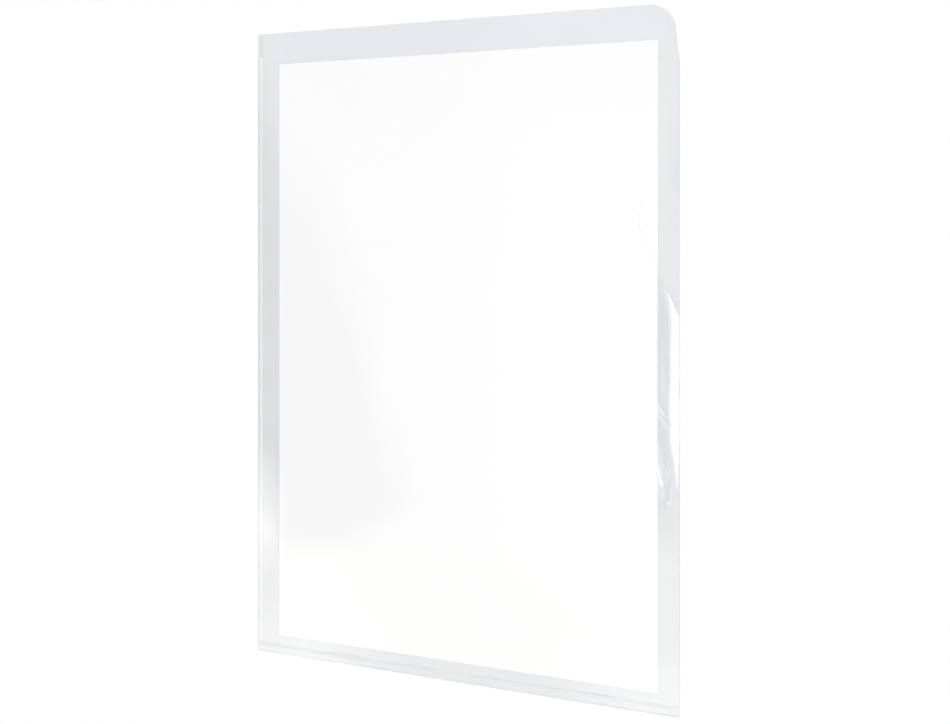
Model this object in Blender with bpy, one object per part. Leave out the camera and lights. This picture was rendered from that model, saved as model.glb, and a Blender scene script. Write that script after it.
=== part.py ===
"""Clear L-shaped document folder holding one sheet of paper.

The folder lies on its back: X to the right, Y towards the open top edge, Z up through the layers.
The origin is the middle of the outline, on the underside of the rear film. Units are metres.
"""

import math

import bmesh
import bpy
from mathutils import Vector

# Sheet of paper
PAPER_WIDTH = 0.210
PAPER_HEIGHT = 0.297
PAPER_THICKNESS = 0.0001

# Margins from the sheet to the folder's edges
LEFT_MARGIN = 0.0136
RIGHT_MARGIN = 0.0104
BOTTOM_MARGIN = 0.0096
TOP_MARGIN = 0.0162

# Layers
FILM_THICKNESS = 0.0002
SHEET_PLAY = 0.0007
SEAT_GAP = 0.0003

# Corners of the films
SMALL_CORNER_RADIUS = 0.0012
LARGE_CORNER_RADIUS = 0.0125
CORNER_TAPER_LENGTH = 0.027
CORNER_TAPER_ANGLE = math.radians(7.5)

# Thumb cut in the front film's right edge: a square upper end, a round inside and a sloping lower side
THUMB_CUT_HEIGHT = 0.1808
THUMB_CUT_LENGTH = 0.0572
THUMB_CUT_SLOPE = math.radians(25.5)
THUMB_CUT_INNER_RADIUS = 0.013
THUMB_CUT_UPPER_RADIUS = 0.0015
THUMB_CUT_LOWER_RADIUS = 0.003

# Weld seams between the films
LEFT_WELD_INSET = 0.0022
LEFT_WELD_WIDTH = 0.0014
LEFT_WELD_PLAIN_END = 0.010
TOOTH_PITCH = 0.0012
TOOTH_CREST = 0.0005
TOOTH_FLANK = 0.00015
TOOTH_WEB = 0.0001
BOTTOM_WELD_INSET = 0.0040
BOTTOM_WELD_WIDTH = 0.0013
BOTTOM_WELD_EDGE = 0.00008

# Line along which the front film bends when its free corner is lifted
BEND_CLEARANCE = 0.002
BEND_GAP = 0.0003

# Fineness of the arcs
ARC_STEP = math.radians(6.0)
BEAD_STEPS = 8

# Sizes that follow from those above
FOLDER_WIDTH = LEFT_MARGIN + PAPER_WIDTH + RIGHT_MARGIN
FOLDER_HEIGHT = BOTTOM_MARGIN + PAPER_HEIGHT + TOP_MARGIN
LEFT = -FOLDER_WIDTH / 2
RIGHT = FOLDER_WIDTH / 2
BOTTOM = -FOLDER_HEIGHT / 2
TOP = FOLDER_HEIGHT / 2
POCKET_DEPTH = PAPER_THICKNESS + SHEET_PLAY
FRONT_BOTTOM = FILM_THICKNESS + POCKET_DEPTH
FRONT_MIDDLE = FRONT_BOTTOM + FILM_THICKNESS / 2
SEAT_LEVEL = FILM_THICKNESS + SEAT_GAP
WELD_HEIGHT = POCKET_DEPTH - 2 * SEAT_GAP
BOTTOM_WELD_TOP = BOTTOM + BOTTOM_WELD_INSET + BOTTOM_WELD_WIDTH / 2
LEFT_WELD_INNER = LEFT + LEFT_WELD_INSET + LEFT_WELD_WIDTH / 2


def clear_scene():
    for item in list(bpy.data.objects):
        bpy.data.objects.remove(item, do_unlink=True)


def make_material(name, colour, roughness, transmission=0.0):
    material = bpy.data.materials.new(name)
    material.use_nodes = True
    shader = material.node_tree.nodes["Principled BSDF"]
    shader.inputs["Base Color"].default_value = (*colour, 1.0)
    shader.inputs["Roughness"].default_value = roughness
    shader.inputs["Metallic"].default_value = 0.0
    shader.inputs["Transmission Weight"].default_value = transmission
    return material


def place(name, mesh_data, material, location):
    """Turns a finished bmesh into a named object whose origin is at location."""
    bmesh.ops.recalc_face_normals(mesh_data, faces=mesh_data.faces)
    bmesh.ops.translate(mesh_data, verts=mesh_data.verts, vec=-Vector(location))
    mesh = bpy.data.meshes.new(name)
    mesh_data.to_mesh(mesh)
    mesh_data.free()
    mesh.materials.append(material)
    piece = bpy.data.objects.new(name, mesh)
    piece.location = location
    bpy.context.scene.collection.objects.link(piece)
    return piece


def rounded_outline(corners):
    """Points of a closed outline, given as corners that each have a radius of their own."""
    points = []
    for index, (corner, radius) in enumerate(corners):
        before = (corners[index - 1][0] - corner).normalized()
        after = (corners[(index + 1) % len(corners)][0] - corner).normalized()
        half_angle = before.angle(after) / 2
        if radius == 0:
            points.append(corner)
            continue
        centre = corner + (before + after).normalized() * radius / math.sin(half_angle)
        first = corner + before * radius / math.tan(half_angle) - centre
        sweep = math.pi - 2 * half_angle
        if before.cross(after) > 0:
            sweep = -sweep
        steps = max(2, math.ceil(abs(sweep) / ARC_STEP))
        for step in range(steps + 1):
            turn = sweep * step / steps
            spoke = Vector((first.x * math.cos(turn) - first.y * math.sin(turn),
                            first.x * math.sin(turn) + first.y * math.cos(turn)))
            points.append(centre + spoke)
    return points


def thumb_cut_corners():
    """Corners of the thumb cut, from the low end of its slope to its square upper end."""
    low = BOTTOM + THUMB_CUT_HEIGHT
    high = low + THUMB_CUT_LENGTH
    inside = RIGHT - THUMB_CUT_LENGTH * math.tan(THUMB_CUT_SLOPE)
    return [(Vector((RIGHT, low)), THUMB_CUT_LOWER_RADIUS),
            (Vector((inside, high)), THUMB_CUT_INNER_RADIUS),
            (Vector((RIGHT, high)), THUMB_CUT_UPPER_RADIUS)]


def film_outline(edge_cuts):
    """Outline of a film, anticlockwise from the bottom left corner."""
    taper_start = TOP - CORNER_TAPER_LENGTH
    taper_end = RIGHT - CORNER_TAPER_LENGTH * math.tan(CORNER_TAPER_ANGLE)
    corners = [(Vector((LEFT, BOTTOM)), SMALL_CORNER_RADIUS),
               (Vector((RIGHT, BOTTOM)), SMALL_CORNER_RADIUS)]
    corners += edge_cuts
    corners += [(Vector((RIGHT, taper_start)), 0),
                (Vector((taper_end, TOP)), LARGE_CORNER_RADIUS),
                (Vector((LEFT, TOP)), SMALL_CORNER_RADIUS)]
    return rounded_outline(corners)


def flat_face(points, height):
    shape = bmesh.new()
    shape.faces.new([shape.verts.new((point.x, point.y, height)) for point in points])
    return shape


def thicken(shape, direction):
    """Extrudes all the faces of a flat shape along direction, into a closed solid."""
    grown = bmesh.ops.extrude_face_region(shape, geom=shape.faces[:])
    moved = [item for item in grown["geom"] if isinstance(item, bmesh.types.BMVert)]
    bmesh.ops.translate(shape, verts=moved, vec=direction)


def bend_line():
    """Upper and lower end of the line along which the front film bends."""
    upper = Vector((LEFT_WELD_INNER + BEND_CLEARANCE, TOP, FRONT_MIDDLE))
    lower = Vector((RIGHT, BOTTOM_WELD_TOP + BEND_CLEARANCE, FRONT_MIDDLE))
    return upper, lower


def front_film_half(towards_corner):
    """One side of the front film, cut back from the bend line by half the gap."""
    upper, lower = bend_line()
    along = (lower - upper).normalized()
    to_corner = Vector((-along.y, along.x, 0))
    side = 1 if towards_corner else -1
    shape = flat_face(film_outline(thumb_cut_corners()), FRONT_BOTTOM)
    bmesh.ops.bisect_plane(shape, geom=shape.verts[:] + shape.edges[:] + shape.faces[:],
                           plane_co=upper + to_corner * side * BEND_GAP / 2,
                           plane_no=to_corner * side, clear_inner=True)
    thicken(shape, Vector((0, 0, FILM_THICKNESS)))
    return shape


def build_rear_film(material):
    shape = flat_face(film_outline([]), 0)
    thicken(shape, Vector((0, 0, FILM_THICKNESS)))
    place("rear_film", shape, material, (0, 0, 0))


def build_front_film(material):
    place("front_film", front_film_half(False), material, (LEFT, BOTTOM, FRONT_BOTTOM))


def build_front_film_corner(material):
    """The free half has its origin on the bend line."""
    upper, lower = bend_line()
    place("front_film_corner", front_film_half(True), material, (upper + lower) / 2)


def toothed_profile(start, end, base):
    """Side view of the toothed weld as Y and Z points: teeth along a thin web, then a plain end."""
    crest = base + WELD_HEIGHT
    web = base + min(TOOTH_WEB, WELD_HEIGHT / 2)
    toothed_end = end - LEFT_WELD_PLAIN_END
    points = [(start, base)]
    for tooth in range(int((toothed_end - start) / TOOTH_PITCH)):
        low = start + tooth * TOOTH_PITCH
        points += [(low, web), (low + TOOTH_FLANK, crest),
                   (low + TOOTH_FLANK + TOOTH_CREST, crest), (low + 2 * TOOTH_FLANK + TOOTH_CREST, web)]
    points += [(toothed_end, web), (toothed_end + TOOTH_FLANK, crest), (end, crest), (end, base)]
    return points


def build_left_weld_seam(material):
    """Runs up the left edge from just above the bottom weld."""
    outer = LEFT + LEFT_WELD_INSET - LEFT_WELD_WIDTH / 2
    start = BOTTOM_WELD_TOP + SEAT_GAP
    end = TOP - SMALL_CORNER_RADIUS
    shape = bmesh.new()
    profile = toothed_profile(start, end, SEAT_LEVEL)
    shape.faces.new([shape.verts.new((outer, y, z)) for y, z in profile])
    thicken(shape, Vector((LEFT_WELD_WIDTH, 0, 0)))
    place("left_weld_seam", shape, material, (outer, start, SEAT_LEVEL))


def build_bottom_weld_seam(material):
    """A low bead with a crowned top along the bottom edge."""
    middle = BOTTOM + BOTTOM_WELD_INSET
    outer = LEFT + LEFT_WELD_INSET - LEFT_WELD_WIDTH / 2
    half = BOTTOM_WELD_WIDTH / 2
    rim = SEAT_LEVEL + min(BOTTOM_WELD_EDGE, WELD_HEIGHT / 2)
    rise = SEAT_LEVEL + WELD_HEIGHT - rim
    profile = [(middle - half, SEAT_LEVEL)]
    for step in range(BEAD_STEPS + 1):
        across = math.pi * (1 - step / BEAD_STEPS)
        profile.append((middle + half * math.cos(across), rim + rise * math.sin(across)))
    profile.append((middle + half, SEAT_LEVEL))
    shape = bmesh.new()
    shape.faces.new([shape.verts.new((outer, y, z)) for y, z in profile])
    thicken(shape, Vector((RIGHT - SMALL_CORNER_RADIUS - outer, 0, 0)))
    place("bottom_weld_seam", shape, material, (outer, middle, SEAT_LEVEL))


def build_paper_insert(material):
    """The loose sheet, with its origin at the middle of its lower edge, on its line of travel."""
    left = LEFT + LEFT_MARGIN
    bottom = BOTTOM + BOTTOM_MARGIN
    corners = [Vector((left, bottom)), Vector((left + PAPER_WIDTH, bottom)),
               Vector((left + PAPER_WIDTH, bottom + PAPER_HEIGHT)), Vector((left, bottom + PAPER_HEIGHT))]
    shape = flat_face(corners, SEAT_LEVEL)
    thicken(shape, Vector((0, 0, PAPER_THICKNESS)))
    place("paper_insert", shape, material, (left + PAPER_WIDTH / 2, bottom, SEAT_LEVEL))


def build_folder():
    clear_scene()
    clear_film = make_material("clear_film", (0.90, 0.92, 0.95), 0.08, transmission=0.9)
    weld = make_material("weld", (0.93, 0.94, 0.96), 0.25, transmission=0.4)
    paper = make_material("paper", (0.93, 0.93, 0.93), 0.9)
    build_rear_film(clear_film)
    build_left_weld_seam(weld)
    build_bottom_weld_seam(weld)
    build_paper_insert(paper)
    build_front_film(clear_film)
    build_front_film_corner(clear_film)


build_folder()
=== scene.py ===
"""Looks of a clear L-shaped document folder that holds one sheet of paper.

The folder lies on its back. X runs to its open right edge, Y to its open top edge and Z up through the
layers: rear film, welds and sheet, front film. Units are metres.
"""
import math

import bmesh
import bpy
from mathutils import Matrix, Vector, noise


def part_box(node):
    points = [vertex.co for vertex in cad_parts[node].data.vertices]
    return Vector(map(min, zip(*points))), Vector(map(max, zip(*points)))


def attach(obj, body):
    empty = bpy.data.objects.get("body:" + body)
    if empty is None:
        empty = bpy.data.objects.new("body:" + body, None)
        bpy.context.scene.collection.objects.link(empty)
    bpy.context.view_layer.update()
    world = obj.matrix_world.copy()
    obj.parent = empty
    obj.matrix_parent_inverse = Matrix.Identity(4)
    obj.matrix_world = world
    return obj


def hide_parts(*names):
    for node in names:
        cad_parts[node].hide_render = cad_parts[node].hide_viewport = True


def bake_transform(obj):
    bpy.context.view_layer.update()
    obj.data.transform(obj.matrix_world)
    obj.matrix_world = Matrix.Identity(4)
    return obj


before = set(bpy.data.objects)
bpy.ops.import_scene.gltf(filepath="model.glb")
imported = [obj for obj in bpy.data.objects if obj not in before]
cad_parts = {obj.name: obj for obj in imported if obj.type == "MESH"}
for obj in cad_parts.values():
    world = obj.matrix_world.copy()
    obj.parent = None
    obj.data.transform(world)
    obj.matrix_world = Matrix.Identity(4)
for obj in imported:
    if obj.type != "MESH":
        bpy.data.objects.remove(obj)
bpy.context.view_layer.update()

# Places taken from the frame
rear_low, rear_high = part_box("rear_film")
paper_low, paper_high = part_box("paper_insert")
left_weld_low, left_weld_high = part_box("left_weld_seam")
bottom_weld_low, bottom_weld_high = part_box("bottom_weld_seam")
LEFT, BOTTOM = rear_low.x, rear_low.y
RIGHT, TOP = rear_high.x, rear_high.y
FILM_THICKNESS = rear_high.z - rear_low.z
PAPER_THICKNESS = paper_high.z - paper_low.z
BOTTOM_WELD_Y = (bottom_weld_low.y + bottom_weld_high.y) / 2

# Heights of the layers, which touch in the real folder: the gaps are only what keeps them apart
LAYER_GAP = 0.00002
WELD_RISE = 0.00018
PAPER_MIDDLE = rear_high.z + LAYER_GAP + PAPER_THICKNESS / 2
WELD_LOW = rear_high.z + LAYER_GAP / 4
WELD_HIGH = rear_high.z + WELD_RISE
FRONT_MIDDLE = WELD_HIGH + LAYER_GAP / 2 + FILM_THICKNESS / 2

# Outline of the films
SMALL_CORNER_RADIUS = 0.0012
LARGE_CORNER_RADIUS = 0.0125
CORNER_TAPER_LENGTH = 0.027
CORNER_TAPER_ANGLE = math.radians(7.5)
THUMB_CUT_LOW = BOTTOM + 0.1808
THUMB_CUT_LENGTH = 0.0572
THUMB_CUT_SLOPE = math.radians(25.5)
THUMB_CUT_INNER_RADIUS = 0.013
THUMB_CUT_UPPER_RADIUS = 0.0015
THUMB_CUT_LOWER_RADIUS = 0.003
ARC_STEP = math.radians(4.0)

# Strips that the films and the sheet are cut into, finer where the front film bends
REAR_FILM_STEP = 0.02
SHEET_STEP = 0.01
FRONT_FILM_STEP = 0.005
WELD_BAND = 0.008
WELD_BAND_STEP = 0.0004
BENT_AREA = ((RIGHT - 0.03, -0.1), (RIGHT, 0.06))
BENT_AREA_STEP = 0.002
FOLD_AREA = ((RIGHT - 0.014, -0.075), (RIGHT, 0.04))
FOLD_AREA_STEP_X = 0.0005
FOLD_AREA_STEP_Y = 0.0008
CUT_TOLERANCE = 1e-7
CUT_EDGE_NORMAL_Z = 0.5
SHARP_ANGLE = math.radians(40)

# Front film: drawn down at the bottom weld and at its trimmed bottom edge, slow waves further in
WELD_DIP_DEPTH = 0.00005
WELD_DIP_REACH = 0.0010
WELD_DIP_WANDER = {"mean": 0.5, "swing": 1.5, "scale": 60.0, "seed": 2.2}
EDGE_TURN_DEPTH = 0.00006
EDGE_TURN_REACH = 0.0013
EDGE_TURN_LEAST = 0.2
EDGE_TURN_WANDER = {"mean": 0.65, "swing": 1.0, "scale": 38.0, "seed": 5.1}
WAVE_HEIGHT = 0.00025
WAVE_SCALE = 13.0
WAVE_SEED = 0.7
WAVE_MEAN = 0.5
WAVE_RUN_X = (LEFT + 0.022, LEFT + 0.075)
WAVE_RUN_Y = (BOTTOM + 0.006, BOTTOM + 0.035)

# Front film: bulge and turned-down lip of the free edge below the thumb cut
BENT_EDGE_REACH = 0.05
BULGE_SLOPE = 0.169
BULGE_FOOT = 0.0120
BULGE_FOOT_ROUND = 0.00125
BULGE_TOP_FADE = (0.060, 0.025)
BULGE_LOW_FADE = (-0.100, -0.044)
CREASE_DISTANCE = 0.0038
CREASE_ROUND = 0.0012
CREASE_TO_CUT = 0.0023
CREASE_TO_CUT_RUN = (0.0154, 0.0338)
CREASE_END_SHIFT = 0.0012
CREASE_END_RUN = (-0.0375, -0.0475)
CREASE_BOW = 0.0013
CREASE_BOW_PLACE = -0.0138
CREASE_BOW_REACH = 0.0183
LIP_SLOPE = 0.225
LIP_FADE = (-0.070, -0.030)
# Folds of the free edge: distance from the edge, Y place, half width, half length, depth, turn from Y
FOLDS = ((0.0076, -0.0530, 0.0027, 0.0080, 0.00079, math.radians(6)),
         (0.0090, -0.0248, 0.0020, 0.0071, 0.00055, math.radians(40)),
         (0.0062, -0.0084, 0.0030, 0.0130, 0.00024, 0.0))
FOLD_ROUND = 0.15

# Weld seams
TOOTH_PITCH = 0.0012
TOOTH_LENGTH = 0.0010
TOOTH_LOW_LENGTH = 0.0011
TOOTH_LENGTH_RUN = (0.03, -0.09)
TOOTH_SHRINK = 0.00004
WEB_RISE = 0.00005
WEB_GAP = 1e-6
LEFT_WELD_PLAIN_END = 0.010
BEAD_SIDES = 10
BEAD_STEP = 0.002
BEAD_RISE = (WELD_HIGH - WELD_LOW) / 3
BEAD_DRIFT = {"mean": 0.0, "swing": 0.00025, "scale": 55.0, "seed": 3.1}
BEAD_SWELL = {"mean": 1.0, "swing": 0.25, "scale": 120.0, "seed": 8.4}

# Sheet
SHEET_WAVE_HEIGHT = 0.00001
SHEET_WAVE_SCALE = 20
SHEET_WAVE_SEED = 4.2

# Finishes. Noise scales are per metre.
FILM_IOR = 1.49
FILM_PATCH_SCALE = 22.0
FILM_PATCH_EDGE = (0.35, 0.75)
FILM_RUB_SCALE = 60.0
FILM_RUB_STRETCH = (1.0, 9.0, 1.0)
FILM_RUB_EDGE = (0.55, 0.8)
FILM_RUB_SHARE = 0.6
FILM_PEEL_SCALE = 420.0
FILM_TONE_SCALE = 18.0
FILM_PEEL_DEPTH = 0.0000015
FROSTED_TONE_SCALE = 300.0
FROSTED_HAZE = 0.2
FROSTED_PEEL_DEPTH = 0.000004
PAPER_CLOUD_SCALE = 130.0
PAPER_GRAIN_SCALE = 900.0
PAPER_GRAIN_EDGE = (0.3, 0.7)
PAPER_ROUGHNESS = (0.82, 0.95)
PAPER_FIBRE_SCALE = 2200.0
PAPER_FIBRE_STRETCH = (1.0, 2.5, 1.0)
PAPER_FIBRE_DEPTH = 0.00002
PAPER_FIBRE_STRENGTH = 0.35
PAPER_SPECULAR = 0.25
TABLE_TONE_SCALE = 3.0
TABLE_GLOW = 0.6
TABLE_HALF_SIZE = 6.0
TABLE_TOP_Z = -0.0001

# Room that the film mirrors. A place in it is a direction, X over Z (across) or Y over Z (along).
# A pair gives where an edge starts and ends, or the levels before and after it.
LOWEST_Z = 0.06
HORIZON = (0.1, 0.3)
ROOM_LEVEL = 0.8
BACK_WALL = (0.22, 0.4)
BACK_WALL_LEVEL = 0.22
RIGHT_WALL = (0.3, 0.6)
RIGHT_WALL_SHARE = 1.02
LEFT_SIDE = (-0.28, -0.18)
WALL_SLANT = 0.33
DARK_WALL_LEFT = (-2.4, -1.7)
DARK_WALL_RIGHT = (-0.83, -0.765)
DARK_WALL_FOOT = (-0.06, 0.02)
DARK_WALL_LEVEL = -0.92
WINDOW_POST = (-0.7235, -0.717)
LINTEL = (-0.23, -0.185)
LINTEL_DROPS = (-0.008, 0.057)
LINTEL_STEP = (-0.43, -0.405)
LINTEL_STEP_SHARE = 0.25
CEILING_EDGE = (-0.58, -0.45)
CEILING_LEVELS = (0.16, 0.48)
CEILING_BACK = (0.05, 0.13)
CEILING_BACK_SHARE = 0.6
WINDOW_SILL = (-0.42, -0.37)
WINDOW_STEP = (-0.325, -0.295)
WINDOW_LEVELS = (0.98, 0.6)
WINDOW_MIDDLE = -0.545
WINDOW_MIDDLE_EDGE = (0.05, 0.15)
WINDOW_MIDDLE_SHARE = 0.27
WINDOW_LEFT_SHARE = 0.78
BAR_PLACE = -0.243
BAR_EDGE = (0.008, 0.042)
BAR_LEVEL = 0.85
UNDER_WINDOW_TOP = (-0.45, -0.38)
UNDER_WINDOW_FOOT = (-0.7, -0.55)
UNDER_WINDOW_LEFT = (-0.82, -0.72)
UNDER_WINDOW_LEVEL = -0.5
GAP_SLANT = 0.5
GAP_SIDE = (-0.712, -0.655)
GAP_LINTEL = (-0.212, -0.175)
GAP_FOOT = (0.065, 0.095)
GAP_LEVEL = -0.64
FLAG_LEFT = (-0.395, -0.380)
FLAG_FOOT = (-0.255, -0.195)
FLAG_MIDDLE = (-0.06, -0.035)
FLAG_TOP = (0.02, 0.13)
FLAG_LOW_LEVEL = -0.9
FLAG_HIGH_LEVELS = (-0.46, -0.08)
LOW_LAMP_LEFT = (-2.0, -1.5)
LOW_LAMP_RIGHT = (-0.86, -0.76)
LOW_LAMP_FOOT = (-1.4, -1.0)
LOW_LAMP_TOP = (-0.62, -0.38)
LOW_LAMP_SLANT = (-0.14, -0.06)
LOW_LAMP_LEVEL = 2.6
HALO_LEFT = (-0.335, -0.285)
HALO_RIGHT = (-0.12, -0.06)
HALO_FOOT = (-0.45, -0.36)
HALO_TOP = (0.0, 0.08)
HALO_LEVEL = 2.2
WARM_LEFT = (-0.9, -0.78)
WARM_FOOT = (-0.5, -0.38)
WARM_TOP = (-0.25, -0.2)
WARM_COLOUR = (1.03, 0.985, 0.91, 1)
WHITE = (1, 1, 1, 1)

# Lamp over the table
SOFTBOX_SIZE = (0.34, 0.6)
SOFTBOX_PLACE = (0.14, -0.08, 1.2)
SOFTBOX_WATTS = 2.45

# Camera, fitted to the edges of the sheet and the folder
CAMERA_FROM_SHEET_CORNER = Vector((0.4588, 0.2091, 0.6392))
CAMERA_YAW = math.radians(28.233)
CAMERA_LENS = 56.784
CAMERA_SENSOR_WIDTH = 36.0
CAMERA_SHIFT_Y = -0.13565
CAMERA_CLIP_START = 0.01


def smooth_step(value, start, end):
    share = min(1.0, max(0.0, (value - start) / (end - start)))
    return share * share * (3 - 2 * share)


def wander(x, mean, swing, scale, seed):
    """A value that wanders along X, by about swing to each side of its mean."""
    return mean + swing * noise.noise(Vector((x * scale, seed, 0)))


# Node helpers

def put(tree, kind, **settings):
    node = tree.nodes.new(kind)
    for name, value in settings.items():
        setattr(node, name, value)
    return node


def feed(tree, socket, value):
    if isinstance(value, bpy.types.NodeSocket):
        tree.links.new(value, socket)
    else:
        socket.default_value = value


def calc(tree, operation, first, second=0.0):
    """Output of a Math node fed with sockets or numbers."""
    node = put(tree, "ShaderNodeMath", operation=operation)
    feed(tree, node.inputs[0], first)
    feed(tree, node.inputs[1], second)
    return node.outputs[0]


def product(tree, first, *factors):
    for factor in factors:
        first = calc(tree, "MULTIPLY", first, factor)
    return first


def total(tree, first, *terms):
    for term in terms:
        first = calc(tree, "ADD", first, term)
    return first


def ramp(tree, value, low, high, to_low, to_high):
    """Output of a smooth Map Range from low..high to to_low..to_high."""
    node = put(tree, "ShaderNodeMapRange", interpolation_type="SMOOTHSTEP")
    feed(tree, node.inputs["Value"], value)
    for name, number in (("From Min", low), ("From Max", high), ("To Min", to_low), ("To Max", to_high)):
        feed(tree, node.inputs[name], number)
    return node.outputs["Result"]


def fade_in(tree, value, edge):
    return ramp(tree, value, *edge, 0.0, 1.0)


def fade_out(tree, value, edge):
    return ramp(tree, value, *edge, 1.0, 0.0)


def speckle(tree, scale, detail=2.0, stretch=(1, 1, 1)):
    """Output of a noise texture in the object's own metres."""
    place = put(tree, "ShaderNodeTexCoord")
    mapping = put(tree, "ShaderNodeMapping")
    mapping.inputs["Scale"].default_value = stretch
    tree.links.new(place.outputs["Object"], mapping.inputs["Vector"])
    node = put(tree, "ShaderNodeTexNoise")
    tree.links.new(mapping.outputs["Vector"], node.inputs["Vector"])
    node.inputs["Scale"].default_value = scale
    node.inputs["Detail"].default_value = detail
    return node.outputs["Fac"]


# Materials

def film_surface_group():
    """Handling marks of polished film: a patchy haze and a faint orange peel."""
    tree = bpy.data.node_groups.new("film_surface", "ShaderNodeTree")
    tree.interface.new_socket("Polish", in_out="INPUT", socket_type="NodeSocketFloat")
    tree.interface.new_socket("Haze", in_out="INPUT", socket_type="NodeSocketFloat")
    tree.interface.new_socket("Roughness", in_out="OUTPUT", socket_type="NodeSocketFloat")
    tree.interface.new_socket("Peel", in_out="OUTPUT", socket_type="NodeSocketFloat")
    given = put(tree, "NodeGroupInput")
    result = put(tree, "NodeGroupOutput")
    patches = fade_in(tree, speckle(tree, FILM_PATCH_SCALE, detail=3.0), FILM_PATCH_EDGE)
    rub_marks = speckle(tree, FILM_RUB_SCALE, detail=4.0, stretch=FILM_RUB_STRETCH)
    rubs = ramp(tree, rub_marks, *FILM_RUB_EDGE, 0.0, FILM_RUB_SHARE)
    marks = calc(tree, "MAXIMUM", patches, rubs)
    haze = calc(tree, "MULTIPLY", marks, given.outputs["Haze"])
    tree.links.new(calc(tree, "ADD", haze, given.outputs["Polish"]), result.inputs["Roughness"])
    tree.links.new(speckle(tree, FILM_PEEL_SCALE, detail=1.0), result.inputs["Peel"])
    return tree


def add_film_surface(tree, shader, group, polish, haze, peel_depth):
    """Places the shared film marks in a material and feeds roughness and bump."""
    marks = put(tree, "ShaderNodeGroup", node_tree=group)
    marks.inputs["Polish"].default_value = polish
    marks.inputs["Haze"].default_value = haze
    tree.links.new(marks.outputs["Roughness"], shader.inputs["Roughness"])
    add_bump(tree, shader, marks.outputs["Peel"], strength=1.0, depth=peel_depth)


def add_bump(tree, shader, height, strength, depth):
    bump = put(tree, "ShaderNodeBump")
    bump.inputs["Strength"].default_value = strength
    bump.inputs["Distance"].default_value = depth
    tree.links.new(height, bump.inputs["Height"])
    tree.links.new(bump.outputs["Normal"], shader.inputs["Normal"])


def patchy_colour(tree, pale, deep, scale):
    """Colour that drifts slowly between two close tones."""
    mix = put(tree, "ShaderNodeMix", data_type="RGBA")
    tree.links.new(speckle(tree, scale), mix.inputs["Factor"])
    mix.inputs["A"].default_value = (*pale, 1)
    mix.inputs["B"].default_value = (*deep, 1)
    return mix.outputs["Result"]


def new_material(name):
    material = bpy.data.materials.new(name)
    material.use_nodes = True
    tree = material.node_tree
    shader = tree.nodes["Principled BSDF"]
    return material, tree, shader, tree.nodes["Material Output"]


def let_light_through(tree, shader, output, passed):
    """Passes soft light and shadow rays, so that what lies under the film is lit."""
    path = put(tree, "ShaderNodeLightPath")
    through = put(tree, "ShaderNodeBsdfTransparent")
    through.inputs["Color"].default_value = (*passed, 1)
    surface = shader.outputs["BSDF"]
    for ray in ("Is Diffuse Ray", "Is Shadow Ray"):
        choose = put(tree, "ShaderNodeMixShader")
        tree.links.new(path.outputs[ray], choose.inputs["Fac"])
        tree.links.new(surface, choose.inputs[1])
        tree.links.new(through.outputs["BSDF"], choose.inputs[2])
        surface = choose.outputs["Shader"]
    tree.links.new(surface, output.inputs["Surface"])


def clear_film_material(name, group, pale, deep, passed, polish, haze):
    """Clear film that shows reflections and lets soft light through to what lies under it."""
    material, tree, shader, output = new_material(name)
    tree.links.new(patchy_colour(tree, pale, deep, FILM_TONE_SCALE), shader.inputs["Base Color"])
    shader.inputs["IOR"].default_value = FILM_IOR
    shader.inputs["Transmission Weight"].default_value = 1.0
    add_film_surface(tree, shader, group, polish, haze, FILM_PEEL_DEPTH)
    let_light_through(tree, shader, output, passed)
    return material


def frosted_and_painted_light_material(name, group, pale, deep, passed, polish):
    """Film that scatters light, in a colour that carries painted light: the cut edge painted grey as
    painted shade, the weld pads painted white partly as whitening and partly as painted highlight, and the
    web painted dark as painted shade.
    """
    material, tree, shader, output = new_material(name)
    tree.links.new(patchy_colour(tree, pale, deep, FROSTED_TONE_SCALE), shader.inputs["Base Color"])
    shader.inputs["IOR"].default_value = FILM_IOR
    add_film_surface(tree, shader, group, polish, FROSTED_HAZE, FROSTED_PEEL_DEPTH)
    let_light_through(tree, shader, output, passed)
    return material


def paper_material():
    """Uncoated office paper: faint cloudiness and a fine fibre grain."""
    material, tree, shader, _ = new_material("office_paper")
    clouds = patchy_colour(tree, pale=(0.955, 0.956, 0.957), deep=(0.942, 0.944, 0.946),
                           scale=PAPER_CLOUD_SCALE)
    tree.links.new(clouds, shader.inputs["Base Color"])
    grain = ramp(tree, speckle(tree, PAPER_GRAIN_SCALE), *PAPER_GRAIN_EDGE, *PAPER_ROUGHNESS)
    tree.links.new(grain, shader.inputs["Roughness"])
    shader.inputs["Specular IOR Level"].default_value = PAPER_SPECULAR
    fibres = speckle(tree, PAPER_FIBRE_SCALE, detail=4.0, stretch=PAPER_FIBRE_STRETCH)
    add_bump(tree, shader, fibres, PAPER_FIBRE_STRENGTH, PAPER_FIBRE_DEPTH)
    return material


# Mesh helpers

def rounded_outline(corners):
    """Points of a closed outline, given as corners that each have a radius of their own."""
    points = []
    for index, (corner, radius) in enumerate(corners):
        before = (corners[index - 1][0] - corner).normalized()
        after = (corners[(index + 1) % len(corners)][0] - corner).normalized()
        half_angle = before.angle(after) / 2
        if radius == 0:
            points.append(corner)
            continue
        centre = corner + (before + after).normalized() * radius / math.sin(half_angle)
        first = corner + before * radius / math.tan(half_angle) - centre
        sweep = math.pi - 2 * half_angle
        if before.cross(after) > 0:
            sweep = -sweep
        steps = max(2, math.ceil(abs(sweep) / ARC_STEP))
        for step in range(steps + 1):
            points.append(centre + Matrix.Rotation(sweep * step / steps, 2) @ first)
    return points


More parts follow.
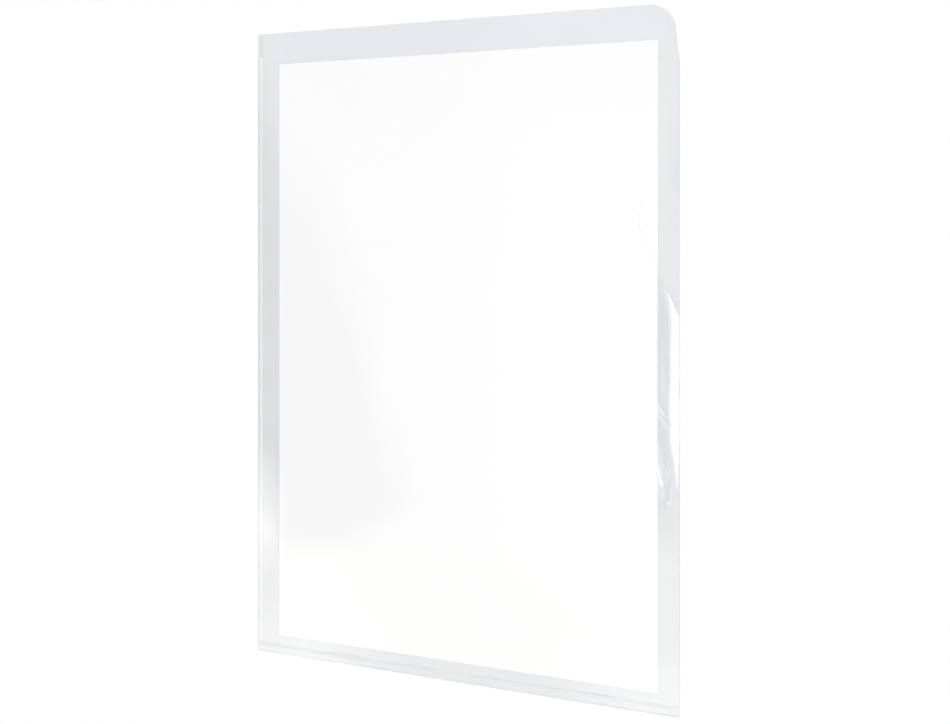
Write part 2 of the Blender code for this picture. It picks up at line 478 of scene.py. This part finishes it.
def thumb_cut_corners():
    high = THUMB_CUT_LOW + THUMB_CUT_LENGTH
    inside = RIGHT - THUMB_CUT_LENGTH * math.tan(THUMB_CUT_SLOPE)
    return [(Vector((RIGHT, THUMB_CUT_LOW)), THUMB_CUT_LOWER_RADIUS),
            (Vector((inside, high)), THUMB_CUT_INNER_RADIUS),
            (Vector((RIGHT, high)), THUMB_CUT_UPPER_RADIUS)]


def film_outline(edge_cuts):
    """Outline of a film, anticlockwise from the bottom left corner."""
    taper_end = RIGHT - CORNER_TAPER_LENGTH * math.tan(CORNER_TAPER_ANGLE)
    corners = [(Vector((LEFT, BOTTOM)), SMALL_CORNER_RADIUS),
               (Vector((RIGHT, BOTTOM)), SMALL_CORNER_RADIUS)]
    corners += edge_cuts
    corners += [(Vector((RIGHT, TOP - CORNER_TAPER_LENGTH)), 0),
                (Vector((taper_end, TOP)), LARGE_CORNER_RADIUS),
                (Vector((LEFT, TOP)), SMALL_CORNER_RADIUS)]
    return rounded_outline(corners)


def flat_shape(outline):
    shape = bmesh.new()
    shape.faces.new([shape.verts.new((point.x, point.y, 0)) for point in outline])
    return shape


def divide(shape, step, low, high, axes=(0, 1)):
    """Cuts the faces whose middle lies between low and high into strips about step wide."""
    for axis in axes:
        normal = Vector((1, 0, 0)) if axis == 0 else Vector((0, 1, 0))
        count = max(1, round((high[axis] - low[axis]) / step))
        for index in range(count + 1):
            place = low[axis] + (high[axis] - low[axis]) * index / count
            faces = []
            for face in shape.faces:
                middle = face.calc_center_bounds()
                if low[0] < middle.x < high[0] and low[1] < middle.y < high[1]:
                    faces.append(face)
            edges = {edge for face in faces for edge in face.edges}
            verts = {vert for face in faces for vert in face.verts}
            bmesh.ops.bisect_plane(shape, geom=[*verts, *edges, *faces], dist=CUT_TOLERANCE,
                                   plane_co=normal * place, plane_no=normal)


def thicken(shape, height_at, thickness):
    """Gives a flat shape its thickness, with its middle at height_at(x, y).

    The edge takes the second material.
    """
    low = shape.verts[:]
    grown = bmesh.ops.extrude_face_region(shape, geom=shape.faces[:])
    high = [item for item in grown["geom"] if isinstance(item, bmesh.types.BMVert)]
    for verts, offset in ((low, -thickness / 2), (high, thickness / 2)):
        for vert in verts:
            vert.co.z = height_at(vert.co.x, vert.co.y) + offset
    bmesh.ops.recalc_face_normals(shape, faces=shape.faces)
    for face in shape.faces:
        if abs(face.normal.z) < CUT_EDGE_NORMAL_Z:
            face.material_index = 1


def finish_piece(name, shape, materials, nodes):
    """Makes the piece from a bmesh, shades it smooth and says which solids it stands for."""
    mesh = bpy.data.meshes.new(name)
    shape.to_mesh(mesh)
    shape.free()
    for material in materials:
        mesh.materials.append(material)
    mesh.shade_smooth()
    mesh.set_sharp_from_angle(angle=SHARP_ANGLE)
    piece = bpy.data.objects.new(name, mesh)
    bpy.context.scene.collection.objects.link(piece)
    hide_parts(*nodes)
    return piece


# Front film shape

def bulge_profile(from_edge):
    """Height of a straight slope with a rounded foot."""
    run = max(0.0, BULGE_FOOT - from_edge)
    if run < BULGE_FOOT_ROUND:
        return BULGE_SLOPE * run ** 2 / (2 * BULGE_FOOT_ROUND)
    return BULGE_SLOPE * (run - BULGE_FOOT_ROUND / 2)


def crease_distance(y):
    """Distance of the crease from the right edge: it runs in to the thumb cut above and out below."""
    bow = math.exp(-((y - CREASE_BOW_PLACE) / CREASE_BOW_REACH) ** 2)
    return (CREASE_DISTANCE + CREASE_TO_CUT * smooth_step(y, *CREASE_TO_CUT_RUN)
            - CREASE_END_SHIFT * smooth_step(y, *CREASE_END_RUN) + CREASE_BOW * bow)


def bent_edge(x, y):
    """Height of the bulge, the turned-down lip and the folds above the flat film."""
    from_edge = RIGHT - x
    crease = crease_distance(y)
    bulge_place = (from_edge + crease + math.hypot(from_edge - crease, CREASE_ROUND)) / 2
    height = bulge_profile(bulge_place) * smooth_step(y, *BULGE_TOP_FADE) * smooth_step(y, *BULGE_LOW_FADE)
    height -= LIP_SLOPE * smooth_step(y, *LIP_FADE) * (bulge_place - from_edge)
    for fold_from_edge, fold_y, half_width, half_length, depth, turn in FOLDS:
        place = Matrix.Rotation(-turn, 2) @ Vector((fold_from_edge - from_edge, y - fold_y))
        across = math.hypot(place.x / half_width, FOLD_ROUND)
        height -= depth * max(0.0, 1 - across) * math.exp(-(place.y / half_length) ** 2)
    return max(0.0, height)


def front_film_height(x, y):
    """Middle height of the front film, which lies over the sheet and is drawn down along its bottom."""
    wave = WAVE_MEAN + noise.noise(Vector((x * WAVE_SCALE, y * WAVE_SCALE, WAVE_SEED)))
    free = smooth_step(x, *WAVE_RUN_X) * smooth_step(y, *WAVE_RUN_Y)
    uneven = max(0.0, wander(x, **WELD_DIP_WANDER))
    dip = math.exp(-((y - BOTTOM_WELD_Y) / WELD_DIP_REACH) ** 2)
    pressed = max(EDGE_TURN_LEAST, wander(x, **EDGE_TURN_WANDER))
    turned = EDGE_TURN_DEPTH * pressed * max(0.0, 1 - (y - BOTTOM) / EDGE_TURN_REACH) ** 2
    height = FRONT_MIDDLE + WAVE_HEIGHT * max(0.0, wave) * free - WELD_DIP_DEPTH * uneven * dip - turned
    if x > RIGHT - BENT_EDGE_REACH:
        height += bent_edge(x, y)
    return height


# Pieces

def make_rear_film(film, cut_edge):
    shape = flat_shape(film_outline([]))
    divide(shape, REAR_FILM_STEP, (LEFT, BOTTOM), (RIGHT, TOP))
    thicken(shape, lambda x, y: FILM_THICKNESS / 2, FILM_THICKNESS)
    piece = finish_piece("rear_clear_film", shape, (film, cut_edge), ("rear_film",))
    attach(piece, "folder")


def make_front_film(film, cut_edge):
    """One continuous film that bends where the CAD has its hinge."""
    shape = flat_shape(film_outline(thumb_cut_corners()))
    divide(shape, FRONT_FILM_STEP, (LEFT, BOTTOM), (RIGHT, TOP))
    divide(shape, WELD_BAND_STEP, (LEFT, BOTTOM), (RIGHT, BOTTOM + WELD_BAND), axes=(1,))
    divide(shape, BENT_AREA_STEP, *BENT_AREA)
    divide(shape, FOLD_AREA_STEP_X, *FOLD_AREA, axes=(0,))
    divide(shape, FOLD_AREA_STEP_Y, *FOLD_AREA, axes=(1,))
    thicken(shape, front_film_height, FILM_THICKNESS)
    piece = finish_piece("front_clear_film", shape, (film, cut_edge),
                         ("front_film", "front_film_corner"))
    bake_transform(piece)


def add_pad(shape, low, high, shrink=0.0, material_index=0):
    """A small pad with sloping flanks, as a toothed sealing bar leaves it."""
    middle = (low + high) / 2
    half = (high - low) / 2
    rings = []
    for z, inset in ((low.z, 0.0), (high.z, shrink)):
        ring = []
        for side_x, side_y in ((-1, -1), (1, -1), (1, 1), (-1, 1)):
            x = middle.x + side_x * (half.x - inset)
            y = middle.y + side_y * (half.y - inset)
            ring.append(shape.verts.new((x, y, z)))
        rings.append(ring)
    base, crown = rings
    faces = [shape.faces.new(reversed(base)), shape.faces.new(crown)]
    for index in range(4):
        after = (index + 1) % 4
        faces.append(shape.faces.new((base[index], base[after], crown[after], crown[index])))
    for face in faces:
        face.material_index = material_index


def make_left_weld(pads, web, plain):
    """A row of pads painted white, partly whitened by the bar and partly a painted highlight for the
    glints of its teeth, with a thin web between them painted dark as painted shade, plain near the open
    top.

    Lower down the pads nearly meet.
    """
    shape = bmesh.new()
    low, high = left_weld_low, left_weld_high
    web_top = WELD_LOW + WEB_RISE
    teeth = int((high.y - low.y - LEFT_WELD_PLAIN_END) / TOOTH_PITCH)
    web_start = low.y
    for tooth in range(teeth):
        middle = low.y + (tooth + 0.5) * TOOTH_PITCH
        filled = smooth_step(middle, *TOOTH_LENGTH_RUN)
        half = (TOOTH_LENGTH + (TOOTH_LOW_LENGTH - TOOTH_LENGTH) * filled) / 2
        add_pad(shape, Vector((low.x, middle - half, WELD_LOW)),
                Vector((high.x, middle + half, WELD_HIGH)), shrink=TOOTH_SHRINK)
        add_pad(shape, Vector((low.x, web_start + WEB_GAP, WELD_LOW)),
                Vector((high.x, middle - half - WEB_GAP, web_top)), material_index=1)
        web_start = middle + half
    add_pad(shape, Vector((low.x, web_start + WEB_GAP, WELD_LOW)),
            Vector((high.x, high.y, web_top)), material_index=2)
    piece = finish_piece("left_toothed_weld", shape, (pads, web, plain), ("left_weld_seam",))
    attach(piece, "folder")


def make_bottom_weld(material):
    """A slightly uneven bead along the bottom edge."""
    shape = bmesh.new()
    low, high = bottom_weld_low, bottom_weld_high
    half = (high.y - low.y) / 2
    count = round((high.x - low.x) / BEAD_STEP)
    rings = []
    for index in range(count + 1):
        x = low.x + (high.x - low.x) * index / count
        middle = BOTTOM_WELD_Y + wander(x, **BEAD_DRIFT)
        reach = half * wander(x, **BEAD_SWELL)
        ring = []
        for step in range(BEAD_SIDES):
            turn = 2 * math.pi * step / BEAD_SIDES
            ring.append(shape.verts.new((x, middle + reach * math.cos(turn),
                                         WELD_LOW + BEAD_RISE / 2 + BEAD_RISE / 2 * math.sin(turn))))
        rings.append(ring)
    for near, far in zip(rings, rings[1:]):
        for step in range(BEAD_SIDES):
            after = (step + 1) % BEAD_SIDES
            shape.faces.new((near[step], near[after], far[after], far[step]))
    shape.faces.new(rings[0])
    shape.faces.new(reversed(rings[-1]))
    bmesh.ops.recalc_face_normals(shape, faces=shape.faces)
    piece = finish_piece("bottom_weld_bead", shape, (material,), ("bottom_weld_seam",))
    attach(piece, "folder")


def sheet_height(x, y):
    place = Vector((x * SHEET_WAVE_SCALE, y * SHEET_WAVE_SCALE, SHEET_WAVE_SEED))
    return PAPER_MIDDLE + SHEET_WAVE_HEIGHT * noise.noise(place)


def make_paper(material):
    """The sheet lies almost flat."""
    shape = flat_shape([Vector((paper_low.x, paper_low.y)), Vector((paper_high.x, paper_low.y)),
                        Vector((paper_high.x, paper_high.y)), Vector((paper_low.x, paper_high.y))])
    divide(shape, SHEET_STEP, paper_low, paper_high)
    thicken(shape, sheet_height, PAPER_THICKNESS)
    for face in shape.faces:
        face.material_index = 0
    piece = finish_piece("paper_sheet", shape, (material,), ("paper_insert",))
    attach(piece, "sheet")


# Studio

def make_floor():
    """A white table that keeps part of its shading, so shadows stay on it."""
    material, tree, shader, output = new_material("white_table")
    tone = patchy_colour(tree, pale=(0.97, 0.97, 0.97), deep=(0.96, 0.96, 0.96), scale=TABLE_TONE_SCALE)
    tree.links.new(tone, shader.inputs["Base Color"])
    shader.inputs["Roughness"].default_value = 1.0
    shader.inputs["Specular IOR Level"].default_value = 0.0
    path = put(tree, "ShaderNodeLightPath")
    seen = calc(tree, "MAXIMUM", path.outputs["Is Camera Ray"], path.outputs["Is Glossy Ray"])
    seen = calc(tree, "MAXIMUM", seen, path.outputs["Is Transmission Ray"])
    glow = put(tree, "ShaderNodeEmission")
    choose = put(tree, "ShaderNodeMixShader")
    tree.links.new(calc(tree, "MULTIPLY", seen, TABLE_GLOW), choose.inputs["Fac"])
    tree.links.new(shader.outputs["BSDF"], choose.inputs[1])
    tree.links.new(glow.outputs["Emission"], choose.inputs[2])
    tree.links.new(choose.outputs["Shader"], output.inputs["Surface"])
    shape = bmesh.new()
    bmesh.ops.create_grid(shape, x_segments=1, y_segments=1, size=TABLE_HALF_SIZE)
    mesh = bpy.data.meshes.new("table_top")
    shape.to_mesh(mesh)
    shape.free()
    mesh.materials.append(material)
    floor = bpy.data.objects.new("table_top", mesh)
    floor.location.z = TABLE_TOP_Z
    bpy.context.scene.collection.objects.link(floor)


def place_from_lintel(tree, across, along):
    """Place along the room, measured from the lintel, which steps at the post and again right of it."""
    drop = product(tree, ramp(tree, across, *WINDOW_POST, *LINTEL_DROPS),
                   ramp(tree, across, *LINTEL_STEP, 1.0, LINTEL_STEP_SHARE))
    return calc(tree, "ADD", along, drop)


def window_level(tree, across, along, from_lintel):
    """The ceiling, the window under its lintel and a bar left of its post."""
    ceiling = product(tree, ramp(tree, across, *CEILING_EDGE, *CEILING_LEVELS),
                      fade_in(tree, from_lintel, LINTEL),
                      ramp(tree, along, *CEILING_BACK, 1.0, CEILING_BACK_SHARE))
    from_middle = calc(tree, "ABSOLUTE", calc(tree, "SUBTRACT", across, WINDOW_MIDDLE))
    window = product(tree, fade_out(tree, from_lintel, LINTEL),
                     ramp(tree, along, *WINDOW_STEP, *WINDOW_LEVELS),
                     ramp(tree, from_middle, *WINDOW_MIDDLE_EDGE, WINDOW_MIDDLE_SHARE, 1.0),
                     fade_in(tree, along, WINDOW_SILL),
                     ramp(tree, across, *WINDOW_POST, WINDOW_LEFT_SHARE, 1.0))
    from_bar = calc(tree, "ABSOLUTE", calc(tree, "SUBTRACT", along, BAR_PLACE))
    bar = product(tree, ramp(tree, from_bar, *BAR_EDGE, BAR_LEVEL, 0.0),
                  fade_out(tree, across, WINDOW_POST))
    return total(tree, ceiling, window, bar)


def under_window_level(tree, across, along):
    """A dark strip below the window."""
    return product(tree, ramp(tree, along, *UNDER_WINDOW_TOP, UNDER_WINDOW_LEVEL, 0.0),
                   fade_in(tree, along, UNDER_WINDOW_FOOT),
                   fade_in(tree, across, UNDER_WINDOW_LEFT))


def gap_level(tree, across, along, from_lintel):
    """A dark gap with slanted sides above the lintel."""
    side = calc(tree, "ADD", across, calc(tree, "MULTIPLY", along, GAP_SLANT))
    foot = calc(tree, "SUBTRACT", along, calc(tree, "MULTIPLY", across, GAP_SLANT))
    return product(tree, ramp(tree, side, *GAP_SIDE, GAP_LEVEL, 0.0),
                   fade_in(tree, from_lintel, GAP_LINTEL),
                   fade_in(tree, foot, GAP_FOOT))


def flag_level(tree, across, along):
    """A dark flag beside the window, paler in its upper part."""
    upper = fade_in(tree, along, FLAG_MIDDLE)
    low_part = product(tree, ramp(tree, along, *FLAG_FOOT, 0.0, FLAG_LOW_LEVEL),
                       calc(tree, "SUBTRACT", 1.0, upper))
    high_part = product(tree, ramp(tree, along, *FLAG_TOP, *FLAG_HIGH_LEVELS), upper)
    return product(tree, total(tree, low_part, high_part), fade_in(tree, across, FLAG_LEFT))


def room_level(tree, across, along):
    """Brightness of the room: pale, with a dark left wall, a window low on it and a dark gap between."""
    slanted = calc(tree, "SUBTRACT", along, calc(tree, "MULTIPLY", across, WALL_SLANT))
    low_lamp = product(tree, ramp(tree, along, *LOW_LAMP_TOP, LOW_LAMP_LEVEL, 0.0),
                       fade_out(tree, slanted, LOW_LAMP_SLANT),
                       fade_in(tree, along, LOW_LAMP_FOOT),
                       fade_in(tree, across, LOW_LAMP_LEFT),
                       fade_out(tree, across, LOW_LAMP_RIGHT))
    from_lintel = place_from_lintel(tree, across, along)
    left_level = total(tree, window_level(tree, across, along, from_lintel), low_lamp,
                       under_window_level(tree, across, along),
                       gap_level(tree, across, along, from_lintel),
                       flag_level(tree, across, along))
    level = total(tree, ROOM_LEVEL, ramp(tree, along, *BACK_WALL, 0.0, BACK_WALL_LEVEL),
                  product(tree, fade_out(tree, across, LEFT_SIDE), left_level))
    dark_wall = product(tree, ramp(tree, across, *DARK_WALL_RIGHT, DARK_WALL_LEVEL, 0.0),
                        fade_in(tree, slanted, DARK_WALL_FOOT),
                        fade_in(tree, across, DARK_WALL_LEFT))
    level = product(tree, level, total(tree, 1.0, dark_wall),
                    ramp(tree, across, *RIGHT_WALL, 1.0, RIGHT_WALL_SHARE))
    lamp_halo = product(tree, ramp(tree, across, *HALO_LEFT, 0.0, HALO_LEVEL),
                        fade_out(tree, across, HALO_RIGHT),
                        fade_in(tree, along, HALO_FOOT),
                        fade_out(tree, along, HALO_TOP))
    return total(tree, level, lamp_halo)


def room_colour(tree, across, along):
    """White, and a little warm in the window."""
    warm = product(tree, fade_out(tree, across, LEFT_SIDE), fade_out(tree, along, WARM_TOP),
                   fade_in(tree, along, WARM_FOOT), fade_in(tree, across, WARM_LEFT))
    daylight = put(tree, "ShaderNodeMix", data_type="RGBA")
    tree.links.new(warm, daylight.inputs["Factor"])
    daylight.inputs["A"].default_value = WHITE
    daylight.inputs["B"].default_value = WARM_COLOUR
    return daylight.outputs["Result"]


def make_studio_walls():
    """The room that the film mirrors, behind a background that the camera sees as white."""
    world = bpy.data.worlds.new("studio")
    bpy.context.scene.world = world
    world.use_nodes = True
    tree = world.node_tree
    tree.nodes.clear()
    place = put(tree, "ShaderNodeTexCoord")
    split = put(tree, "ShaderNodeSeparateXYZ")
    tree.links.new(place.outputs["Generated"], split.inputs["Vector"])
    height = calc(tree, "MAXIMUM", split.outputs["Z"], LOWEST_Z)
    across = calc(tree, "DIVIDE", split.outputs["X"], height)
    along = calc(tree, "DIVIDE", split.outputs["Y"], height)
    surround = put(tree, "ShaderNodeBackground")
    tree.links.new(room_colour(tree, across, along), surround.inputs["Color"])
    tree.links.new(room_level(tree, across, along), surround.inputs["Strength"])
    white = put(tree, "ShaderNodeBackground")
    white.inputs["Color"].default_value = WHITE
    path = put(tree, "ShaderNodeLightPath")
    behind = calc(tree, "MAXIMUM", path.outputs["Is Glossy Ray"], path.outputs["Is Transmission Ray"])
    behind = calc(tree, "MULTIPLY", behind, fade_out(tree, split.outputs["Z"], HORIZON))
    choose = put(tree, "ShaderNodeMixShader")
    tree.links.new(calc(tree, "MAXIMUM", path.outputs["Is Camera Ray"], behind), choose.inputs["Fac"])
    tree.links.new(surround.outputs["Background"], choose.inputs[1])
    tree.links.new(white.outputs["Background"], choose.inputs[2])
    output = put(tree, "ShaderNodeOutputWorld")
    tree.links.new(choose.outputs["Shader"], output.inputs["Surface"])


def make_softbox():
    """A soft lamp overhead, which the bent edge mirrors towards the camera."""
    lamp = bpy.data.lights.new("overhead_softbox", "AREA")
    lamp.shape = "RECTANGLE"
    lamp.size, lamp.size_y = SOFTBOX_SIZE
    lamp.energy = SOFTBOX_WATTS
    softbox = bpy.data.objects.new("overhead_softbox", lamp)
    softbox.location = SOFTBOX_PLACE
    bpy.context.scene.collection.objects.link(softbox)


def make_camera():
    """Level with the folder's own up direction and turned to its left."""
    camera = bpy.data.cameras.new("photo_view")
    camera.lens = CAMERA_LENS
    camera.sensor_width = CAMERA_SENSOR_WIDTH
    camera.shift_y = CAMERA_SHIFT_Y
    camera.clip_start = CAMERA_CLIP_START
    viewer = bpy.data.objects.new("photo_view", camera)
    corner = Vector((paper_low.x, paper_low.y, PAPER_MIDDLE + PAPER_THICKNESS / 2))
    right = Vector((math.cos(CAMERA_YAW), 0, -math.sin(CAMERA_YAW)))
    up = Vector((0, 1, 0))
    back = right.cross(up)
    turn = Matrix((right, up, back)).transposed().to_4x4()
    viewer.matrix_world = Matrix.Translation(corner + CAMERA_FROM_SHEET_CORNER) @ turn
    bpy.context.scene.collection.objects.link(viewer)
    bpy.context.scene.camera = viewer


def build_scene():
    bpy.context.scene.view_settings.view_transform = "Standard"
    group = film_surface_group()
    front = clear_film_material("front_clear_film", group, pale=(1.0, 1.0, 1.0), deep=(0.985, 0.988, 0.99),
                                passed=(0.985, 0.985, 0.985), polish=0.02, haze=0.05)
    rear = clear_film_material("rear_clear_film", group, pale=(0.853, 0.868, 0.888),
                               deep=(0.828, 0.843, 0.864), passed=(0.925, 0.93, 0.94),
                               polish=0.03, haze=0.06)
    bead = clear_film_material("clear_weld_bead", group, pale=(0.99, 0.99, 0.99), deep=(0.95, 0.955, 0.96),
                               passed=(0.98, 0.98, 0.98), polish=0.08, haze=0.12)
    # Cut edge painted grey: painted shade for the dark line along the clear film's edge.
    cut_edge = frosted_and_painted_light_material("film_cut_edge_painted_dark", group, pale=(0.60, 0.61, 0.625), deep=(0.54, 0.55, 0.565),
                                passed=(0.95, 0.95, 0.95), polish=0.3)
    # Pads painted white: partly whitening by the bar, partly a painted highlight for the glints of the
    # embossed teeth.
    pads = frosted_and_painted_light_material("whitened_weld_pads_painted_glint", group, pale=(0.99, 0.99, 0.99), deep=(0.96, 0.96, 0.965),
                            passed=(0.97, 0.97, 0.97), polish=0.2)
    # Web painted dark: painted shade for the dark gaps between the teeth.
    web = frosted_and_painted_light_material("weld_web_painted_shade", group, pale=(0.45, 0.455, 0.465), deep=(0.41, 0.415, 0.425),
                           passed=(0.94, 0.94, 0.94), polish=0.2)
    make_rear_film(rear, cut_edge)
    make_left_weld(pads, web, bead)
    make_bottom_weld(bead)
    make_paper(paper_material())
    make_front_film(front, cut_edge)
    make_floor()
    make_studio_walls()
    make_softbox()
    make_camera()


build_scene()
